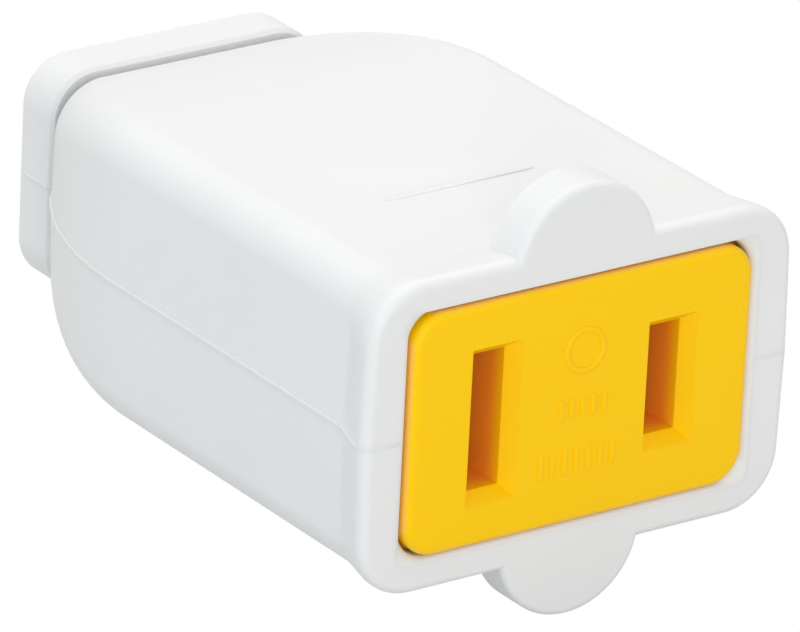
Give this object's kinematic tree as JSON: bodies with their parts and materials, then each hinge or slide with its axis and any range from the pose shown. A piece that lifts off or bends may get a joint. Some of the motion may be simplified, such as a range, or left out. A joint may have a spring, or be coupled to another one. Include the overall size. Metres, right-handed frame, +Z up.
{
  "type": "inline socket connector",
  "caption": "Inline socket connector with a recessed polarised blade-slot face, finger lugs, a two-part moulded casing and a collared cord inlet.",
  "frame": {"origin": "centre of the yellow socket face, in the plane of that face", "axes": "-Y points out of the socket towards the plug, +Y back to the cord inlet, +X to the right seen from the front, +Z up"},
  "size_m": [0.0306, 0.0459, 0.0276],
  "materials": {
    "white_plastic": "satin moulded",
    "yellow_plastic": "satin moulded",
    "jaw_plastic": "fine matt",
    "contact_brass": "rolled sheet",
    "screw_brass": "turned",
    "nickel_plate": "nickel plated",
    "zinc_steel": "zinc plated"
  },
  "bodies": {
    "root": {"upper_shell": "white_plastic", "lower_shell": "white_plastic", "contact_carrier": "yellow_plastic", "carrier_back_cover": "yellow_plastic", "neutral_contact": "contact_brass", "line_contact": "contact_brass", "neutral_terminal_screw": "nickel_plate", "line_terminal_screw": "screw_brass", "neutral_wire_clamp": "zinc_steel", "line_wire_clamp": "zinc_steel", "neutral_terminal_nut": "screw_brass", "line_terminal_nut": "screw_brass", "shell_screw_left": "zinc_steel", "shell_screw_right": "zinc_steel", "clamp_screw_left": "zinc_steel", "clamp_screw_right": "zinc_steel", "upper_clamp_jaw": "jaw_plastic", "lower_clamp_jaw": "jaw_plastic"}
  },
  "joints": []
}
